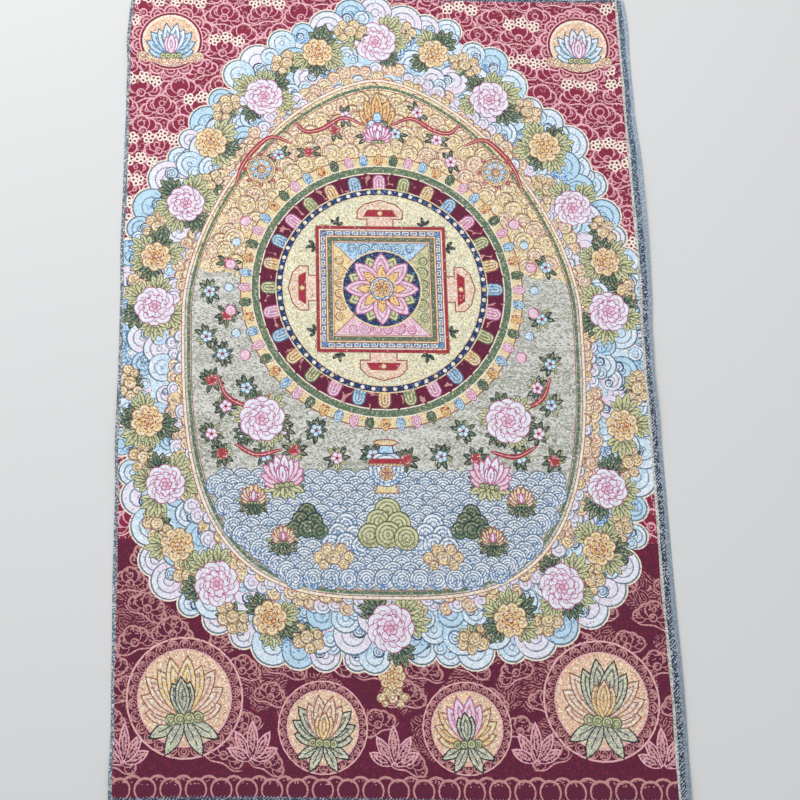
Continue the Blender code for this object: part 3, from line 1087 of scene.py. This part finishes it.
def divided_face(pen, grid):
    """The cloth's face as triangles with one owner shape each, and no line that doesn't show."""
    points, cells, sources = triangulated(pen.points, [], pen.faces)
    owners = topmost(pen, points[cells].mean(axis=1), sources)
    on_cloth = np.array([bool(s) and min(s) == 0 for s in sources] + [False])
    edges, one, two = edge_table(cells)
    beyond = np.where(two >= 0, owners[two], -1)
    shown = edges[(owners[one] != beyond) & (on_cloth[one] | on_cloth[two])]
    corners, shown = compacted(points, shown)

    rim = rim_points(pen.half_width, pen.half_length)
    start = len(corners)
    rim_edges = [(start + k, start + (k + 1) % len(rim)) for k in range(len(rim))]
    final, triangles, _ = triangulated(np.concatenate([corners, rim, grid]), shown.tolist() + rim_edges, [])
    middles = final[triangles].mean(axis=1)
    inside = np.all(np.abs(middles) < (pen.half_width, pen.half_length), axis=1)

    finder = BVHTree.FromPolygons([(x, y, 0.0) for x, y in points], cells.tolist())
    hits = []
    for x, y in middles[inside]:
        hit = finder.ray_cast(Vector((x, y, 1.0)), Vector((0, 0, -1)), 2.0)[2]
        hits.append(finder.find_nearest(Vector((x, y, 0.0)))[2] if hit is None else hit)
    final, triangles = compacted(final, triangles[inside])
    return final, wound(final, triangles), owners[hits]


def rim_loop(cells):
    """The face's outer points in order, anticlockwise."""
    ahead = {(a, b) for a, b in sides(cells).tolist()}
    after = {a: b for a, b in ahead if (b, a) not in ahead}
    loop = [min(after)]
    for _ in range(len(after) - 1):
        loop.append(after[loop[-1]])
    if after[loop[-1]] != loop[0] or len(set(loop)) != len(loop):
        raise ValueError("The cloth's face isn't one piece with one rim")
    return np.array(loop)


def cloth_mesh(size, colours):
    """The whole closed cloth with what its material reads: threads, forms and weave."""
    pen = draw_design(size)
    half = half_sizes(size)
    grid = grid_points(*half)
    face_points, face_cells, owners = divided_face(pen, grid)
    face_rim = rim_loop(face_cells)
    rim = face_points[face_rim]
    rim = np.where(np.abs(np.abs(rim) - half) < RIM_SLACK, np.sign(rim) * half, rim)
    face_points[face_rim] = rim
    back_points, back_cells, _ = triangulated(np.concatenate([rim, grid]), [], [])
    back_cells = wound(back_points, back_cells)[:, ::-1]

    offset = len(face_points)
    back_rim = np.arange(len(rim)) + offset
    face_next, back_next = np.roll(face_rim, -1), np.roll(back_rim, -1)
    wall = np.concatenate([np.stack([back_rim, back_next, face_next], 1),
                           np.stack([back_rim, face_next, face_rim], 1)])
    cut_places = np.concatenate([face_points, back_points])
    laid = lay(cut_places, size)
    laid[:offset, 2] += size.thickness
    outline = lay(rim, size)
    middle = (outline.min(axis=0) + outline.max(axis=0)) / 2
    laid[:, :2] -= middle[:2]

    triangles = np.concatenate([face_cells, back_cells + offset, wall])
    mesh = bpy.data.meshes.new(CLOTH_NAME)
    mesh.from_pydata(laid.tolist(), [], triangles.tolist())
    reverse = pen.new_shape("reverse")
    write_threads(mesh, pen, np.append(owners, [reverse] * (len(triangles) - len(owners))), colours)
    flat = np.pad(cut_places, ((0, 0), (0, 1)))
    write_attribute(mesh, "cut_place", "POINT", flat)
    write_map(mesh, (cut_places / (2 * half) + 0.5)[triangles], len(face_cells), len(wall))
    return mesh, middle


def linear(colour):
    """A screen colour as the light values that shaders use."""
    colour = np.array(colour, float)
    return np.where(colour <= 0.04045, colour / 12.92, ((colour + 0.055) / 1.055) ** 2.4)


def write_attribute(mesh, name, domain, values):
    """Three numbers for each point or face are a vector, and four are a colour."""
    kind, field = {3: ("FLOAT_VECTOR", "vector"), 4: ("FLOAT_COLOR", "color")}[values.shape[1]]
    attribute = mesh.attributes.new(name, kind, domain)
    attribute.data.foreach_set(field, values.astype(np.float32).ravel())


def write_threads(mesh, pen, shape_of, colours):
    """Give each triangle the threads, drawn form and weave of the shape it belongs to."""
    dyes = {name: linear(getattr(colours, name)) for name in DYES}
    rows = [(YARNS[name], form) for name, form in zip(pen.yarns, pen.forms)]
    for name, values in {
        "first_thread": [(*dyes[yarn.first], yarn.low) for yarn, form in rows],
        "second_thread": [(*dyes[yarn.second], yarn.high) for yarn, form in rows],
        "line_thread": [(*dyes[yarn.line], form.rib) for yarn, form in rows],
        "figure": [(form.x, form.y, form.turn) for yarn, form in rows],
        "form": [(form.radius, form.pinch, form.stretch) for yarn, form in rows],
        "drawn": [(form.line, form.pitch, form.hand, form.sway) for yarn, form in rows],
        "weave": [(yarn.gilt, yarn.kind, yarn.speck) for yarn, form in rows],
    }.items():
        write_attribute(mesh, name, "FACE", np.array(values)[shape_of])


def write_map(mesh, corners, face_count, wall_count):
    """A flat map of the cloth: its face on the left, its back and cut edge in narrow strips."""
    corners[:face_count, :, 0] *= 0.90
    corners[face_count:-wall_count, :, 0] *= 0.07
    corners[face_count:-wall_count, :, 0] += 0.93
    run = np.linspace(0, 1, wall_count // 2 + 1)
    low, high = (np.stack([np.full_like(run, across), run], 1) for across in (0.905, 0.915))
    corners[-wall_count:] = np.concatenate([np.stack([low[:-1], low[1:], high[1:]], 1),
                                            np.stack([low[:-1], high[1:], high[:-1]], 1)])
    layer = mesh.uv_layers.new(name="OFBake")
    layer.data.foreach_set("uv", corners.astype(np.float32).ravel())


# ---------------- materials

COLOUR, VECTOR, ALPHA = 0, 1, 3       # outputs of an Attribute node


class Wire:
    """A shader socket with Python's arithmetic, each step of it a Math node."""

    def __init__(self, wiring, socket):
        self.wiring, self.socket = wiring, socket

    def output(self, name):
        """Another output of the same node."""
        return Wire(self.wiring, self.socket.node.outputs[name])

    def math(self, operation, *others):
        sockets = dict(enumerate((self, *others)))
        return self.wiring.node("ShaderNodeMath", {"operation": operation}, sockets)

    __add__ = __radd__ = partialmethod(math, "ADD")
    __mul__ = __rmul__ = partialmethod(math, "MULTIPLY")
    __sub__ = partialmethod(math, "SUBTRACT")
    __truediv__ = partialmethod(math, "DIVIDE")
    below = partialmethod(math, "LESS_THAN")
    at_least = partialmethod(math, "MAXIMUM")

    def __rsub__(self, other):
        return self * -1.0 + other

    def equals(self, number):
        return self.math("COMPARE", float(number), 0.5)

    def unsigned(self):
        return self.math("ABSOLUTE")

    def whole(self):
        return self.math("FLOOR")

    def fraction(self):
        return self.math("FRACT")

    def limited(self):
        return self.at_least(0.0).math("MINIMUM", 1.0)

    def towards(self, other, share):
        """Blend from this value to another."""
        return self + (other - self) * share


class Wiring:
    """One material and the nodes of its tree."""

    def __init__(self, name):
        self.material = bpy.data.materials.new(name)
        self.material.use_nodes = True
        self.tree = self.material.node_tree

    def feed(self, node, sockets):
        """Link or set sockets of a node."""
        for name, value in sockets.items():
            if isinstance(value, Wire):
                self.tree.links.new(value.socket, node.inputs[name])
            else:
                node.inputs[name].default_value = value

    def node(self, kind, settings, sockets, output=0):
        made = self.tree.nodes.new(kind)
        for name, value in settings.items():
            setattr(made, name, value)
        self.feed(made, sockets)
        return Wire(self, made.outputs[output])

    def surface(self, **sockets):
        """Feed the surface; socket names have underscores for their spaces."""
        named = {name.replace("_", " "): value for name, value in sockets.items()}
        self.feed(self.tree.nodes["Principled BSDF"], named)
        return self.material

    def attribute(self, name, output):
        settings = {"attribute_type": "GEOMETRY", "attribute_name": name}
        return self.node("ShaderNodeAttribute", settings, {}, output)

    def parts(self, vector):
        split = self.node("ShaderNodeSeparateXYZ", {}, {0: vector})
        return [split.output(k) for k in range(3)]

    def joined(self, x, y, z=0.0):
        return self.node("ShaderNodeCombineXYZ", {}, {0: x, 1: y, 2: z})

    def mixed(self, share, first, second, blend="MIX"):
        settings = {"data_type": "RGBA", "blend_type": blend}
        return self.node("ShaderNodeMix", settings, {0: share, 6: first, 7: second}, 2)

    def noise(self, dimensions="3D", **sockets):
        return self.node("ShaderNodeTexNoise", {"noise_dimensions": dimensions}, sockets)

    def chance(self, x, y, seed):
        """One random number for each whole step of x and y."""
        return self.node("ShaderNodeTexWhiteNoise", {}, {"Vector": self.joined(x.whole(), y.whole(), seed)})


THREAD_WIDE, THREAD_HIGH = 1.35, 1.20      # one woven point, in millimetres
ROW_SHIFT = 0.333            # each row of points starts this share of a point further
STEPPED = 0.6                # how far drawn lines keep to the woven points

# Lines of the margins: their pitch, the share of it that is light, the share of the second thread
# in the dark part, and how much more of it there is in the light part
SIDE_SLANT, SIDE_TWILL = 1.1, (3.6, 0.46, 0.10, 0.46)
END_SLANT, END_TWILL = 0.7, (2.6, 0.42, 0.0, 0.45)
RIBS = (1.0, 0.5, 0.15, 0.35)

CLOSED_TWILL = (20, 260)     # the right margin's twill closes up from here, over this length
CLOSED_SHARE = 0.36          # light thread where it has closed up
STREAK_ACROSS, STREAK_ALONG = 0.012, 0.11     # how often the haze changes, for each millimetre
SALT_SHARE, PEPPER_SHARE = 0.54, 0.34         # of the points of a fully speckled weave
GRAIN, STIPPLED_GRAIN = 0.13, 0.19            # how much single threads differ in tone
WARP_PITCH, WEFT_PITCH = 0.62, 0.48           # of the fine relief, in millimetres
CLOTH_LENGTH = 914.0
VEIN_WIDTH = 1.0
CURL_PITCH = 9.5


def drawn_lines(w, x, y, curled):
    """How far up its shape a point is, from 0 to 1, and how strongly a drawn line shows there."""
    cell = w.node("ShaderNodeTexVoronoi", {"voronoi_dimensions": "2D"},
                  {"Vector": w.joined(x, y), "Scale": 1 / CURL_PITCH, "Randomness": 0.8})
    cell_x, cell_y, _ = w.parts(cell.output("Position"))
    luck, other_luck, _ = w.parts(cell.output("Color"))
    form_x, form_y, turn = w.parts(w.attribute("figure", VECTOR))
    radius, pinch, stretch = w.parts(w.attribute("form", VECTOR))
    line, pitch, hand = w.parts(w.attribute("drawn", VECTOR))
    rib, sway = w.attribute("line_thread", ALPHA), w.attribute("drawn", ALPHA)
    turn = turn + curled * (luck * math.tau)
    hand = hand * (1 - curled * 2 * other_luck.below(0.5))
    dx = x - form_x - curled * (cell_x - form_x)
    dy = y - form_y - curled * (cell_y - form_y)
    cosine, sine = turn.math("COSINE"), turn.math("SINE")
    across = dx * cosine + dy * sine
    up = dy * cosine - dx * sine
    sideways = across.unsigned() + pinch
    beyond = (up.unsigned() - stretch).at_least(0.0)
    inwards = (radius - (sideways * sideways + beyond * beyond).math("SQRT")).at_least(0.0)
    half = stretch + ((radius - pinch) * (radius + pinch)).math("SQRT")
    height = (up / half * 0.5 + 0.5).limited()
    swell = (height - 0.5) * 2 * (1 + curled) * sway
    winding = hand * up.math("ARCTAN2", across) / math.tau
    ring = ((inwards / pitch + winding).fraction() * pitch).below(line * (1 + swell))
    rim = inwards.below(line * (1 + swell * 0.5))
    vein = across.unsigned().below(VEIN_WIDTH / 2) * height.below(rib)
    return height, (ring * 0.8).at_least(rim).at_least(vein)


def brocade_material(salt, pepper):
    """Jacquard brocade: mixed threads, stippled gilt, twill margins and a ribbed selvedge."""
    w = Wiring("brocade_weave")
    place = w.attribute("cut_place", VECTOR)
    x, y, _ = w.parts(place)
    row = (y / THREAD_HIGH).whole()
    column = x / THREAD_WIDE + row * ROW_SHIFT
    woven_x = (column.whole() + 0.5 - row * ROW_SHIFT) * THREAD_WIDE
    woven_y = (row + 0.5) * THREAD_HIGH
    gilt, kind, speck = w.parts(w.attribute("weave", VECTOR))
    stippled, side, end, ribbed, curled, streaked = map(kind.equals, range(STIPPLED, STREAKED + 1))
    height, lined = drawn_lines(w, x.towards(woven_x, STEPPED), y.towards(woven_y, STEPPED), curled)
    run = column * (1 - 0.3 * streaked)
    pick, tone, binding = (w.chance(run, y / THREAD_HIGH, seed) for seed in (1, 2, 3))

    def striped(across, pitch, light_width, dark, light):
        return dark + (across / pitch).fraction().below(light_width) * light

    # the share of the second thread: by height in drawn shapes, by slant or rib in the margins
    low, high = w.attribute("first_thread", ALPHA), w.attribute("second_thread", ALPHA)
    start, reach = CLOSED_TWILL
    closed_up = ((y - start) / reach).limited()
    share = low.towards(high, height) * (1 - side - end - ribbed)
    share += side * striped(y - x * SIDE_SLANT, *SIDE_TWILL).towards(CLOSED_SHARE, closed_up)
    share += end * striped(y - x * END_SLANT, *END_TWILL) + ribbed * striped(x, *RIBS)
    bands = w.noise("2D", Vector=w.joined(x * STREAK_ACROSS, y * STREAK_ALONG), Scale=1.0)
    streaks = low.towards(high, ((bands - 0.5) * 2.4 + 0.5).limited())
    chosen = pick.below(share.towards(streaks, streaked) * 0.94 + 0.02)
    threads = w.mixed(chosen, w.attribute("first_thread", COLOUR), w.attribute("second_thread", COLOUR))

    # drawn lines, then salt and pepper
    line_colour = w.attribute("line_thread", COLOUR)
    lined = lined.at_least(side * (0.12 + closed_up * 0.38) + end * 0.10)
    threads = w.mixed(lined, threads, line_colour)
    threads = w.mixed(binding.below(speck * SALT_SHARE) * (0.8 - lined * 0.5), threads, salt)
    darker = w.mixed(0.5, line_colour, pepper)
    threads = w.mixed((1 - binding).below(speck * PEPPER_SHARE) * 0.85, threads, darker)

    # each thread's own tone, slow drift of the dye, and painted shade that darkens the selvedge towards the
    # bottom, for light that falls off down the cloth
    grain = GRAIN + STIPPLED_GRAIN * stippled
    shade = 1 + (tone - 0.5) * grain * 2
    # painted shade: the selvedge grows darker towards the cloth's lower end, standing in for the light's
    # falloff
    painted_shade_low = (0.5 - y / CLOTH_LENGTH).limited()
    drift = w.noise(Vector=place, Scale=0.06)
    shade = shade * (0.94 + drift * 0.12) * (1 - ribbed * painted_shade_low * 0.3)

    weft = (y / WEFT_PITCH).fraction() - 0.5
    warp = (x / WARP_PITCH + (y / WEFT_PITCH).whole() * 0.5).fraction() - 0.5
    relief = (weft * weft + warp * warp) * -1.2 + tone * 0.45
    return w.surface(
        Base_Color=w.mixed(1.0, threads, w.joined(shade, shade, shade), "MULTIPLY"),
        Roughness=0.82 - gilt * 0.28 * tone,
        Metallic=gilt * 0.22,
        Normal=w.node("ShaderNodeBump", {}, {"Strength": 0.35, "Distance": 0.00025, "Height": relief}),
        Sheen_Weight=0.12,
        Sheen_Roughness=0.5,
        Specular_IOR_Level=0.28,
    )


def floor_material():
    w = Wiring("pale_floor")
    tone = 0.70 + w.noise(Scale=6.0, Detail=3.0) * 0.03
    return w.surface(Base_Color=w.joined(tone, tone, tone * 0.99), Roughness=0.9)


# ---------------- operators

class WeaveCloth(bpy.types.Operator):
    """Weave the panel with its design and lay it down"""

    bl_idname = "brocade.weave_cloth"
    bl_label = "Weave cloth"

    def execute(self, context):
        size, dyes = context.scene.panel_sizes, context.scene.thread_colours
        mesh, middle = cloth_mesh(size, dyes)
        salt, pepper = ((*linear(dye), 1.0) for dye in (dyes.salt, dyes.pepper))
        mesh.materials.append(brocade_material(salt, pepper))
        mesh.shade_smooth()
        mesh.set_sharp_from_angle(angle=math.radians(50))
        cloth = bpy.data.objects.new(CLOTH_NAME, mesh)
        context.scene.collection.objects.link(cloth)
        context.scene["cloth_middle"] = list(middle)
        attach(cloth, "root")
        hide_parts(PANEL_NODE)
        return {"FINISHED"}


class SetStage(bpy.types.Operator):
    """Set the pale floor, the soft lights and the camera"""

    bl_idname = "brocade.set_stage"
    bl_label = "Set stage"

    def soft_light(self, context, name, place, side, power):
        data = bpy.data.lights.new(name, "AREA")
        data.shape = "SQUARE"
        data.size = side
        data.energy = power
        lamp = bpy.data.objects.new(name, data)
        lamp.location = place
        lamp.rotation_euler = (-Vector(place)).to_track_quat("-Z", "Y").to_euler()
        context.scene.collection.objects.link(lamp)

    def execute(self, context):
        settings = context.scene.stage_settings
        bpy.ops.object.select_all(action="DESELECT")
        bpy.ops.mesh.primitive_plane_add(size=settings.floor_size, location=(0, 0, -0.0002))
        floor = context.active_object
        floor.name = "floor"
        floor.data.materials.append(floor_material())
        bpy.ops.object.transform_apply(location=True, rotation=True, scale=True)

        self.soft_light(context, "key_light", (-0.7, 1.35, 1.7), 1.4, settings.key_power)
        self.soft_light(context, "fill_light", (1.2, -0.9, 1.8), 1.8, settings.fill_power)
        world = bpy.data.worlds.new("soft_room")
        world.use_nodes = True
        air = world.node_tree.nodes["Background"].inputs
        air["Color"].default_value = (0.93, 0.96, 1.0, 1.0)
        air["Strength"].default_value = 0.55
        context.scene.world = world
        context.scene.view_settings.view_transform = "Standard"

        middle = context.scene["cloth_middle"]
        data = bpy.data.cameras.new("camera")
        data.lens = settings.lens
        data.sensor_width = settings.sensor
        camera = bpy.data.objects.new("camera", data)
        camera.rotation_euler = settings.camera_turn
        camera.location = (settings.camera_x - middle[0], settings.camera_y - middle[1],
                           settings.camera_z + context.scene.panel_sizes.thickness)
        context.scene.collection.objects.link(camera)
        context.scene.camera = camera
        return {"FINISHED"}


class BrocadePanel(bpy.types.Panel):
    """Lists the steps that make the panel"""

    bl_idname = "VIEW3D_PT_brocade"
    bl_label = "Brocade panel"
    bl_space_type = "VIEW_3D"
    bl_region_type = "UI"
    bl_category = "Brocade"

    def draw(self, context):
        for step in STEPS:
            self.layout.operator(step.bl_idname)
        for group in GROUPS:
            box = self.layout.box()
            settings = getattr(context.scene, group)
            for name in settings.__annotations__:
                box.prop(settings, name)


GROUPS = {"panel_sizes": PanelSizes, "thread_colours": ThreadColours, "stage_settings": StageSettings}
STEPS = (WeaveCloth, SetStage)
KINDS = (*GROUPS.values(), *STEPS, BrocadePanel)


def register():
    for kind in KINDS:
        bpy.utils.register_class(kind)
    for name, kind in GROUPS.items():
        setattr(bpy.types.Scene, name, PointerProperty(type=kind))


def unregister():
    for name in GROUPS:
        delattr(bpy.types.Scene, name)
    for kind in reversed(KINDS):
        bpy.utils.unregister_class(kind)


def main():
    register()
    bpy.ops.brocade.weave_cloth()
    bpy.ops.brocade.set_stage()


if __name__ == "__main__":
    main()
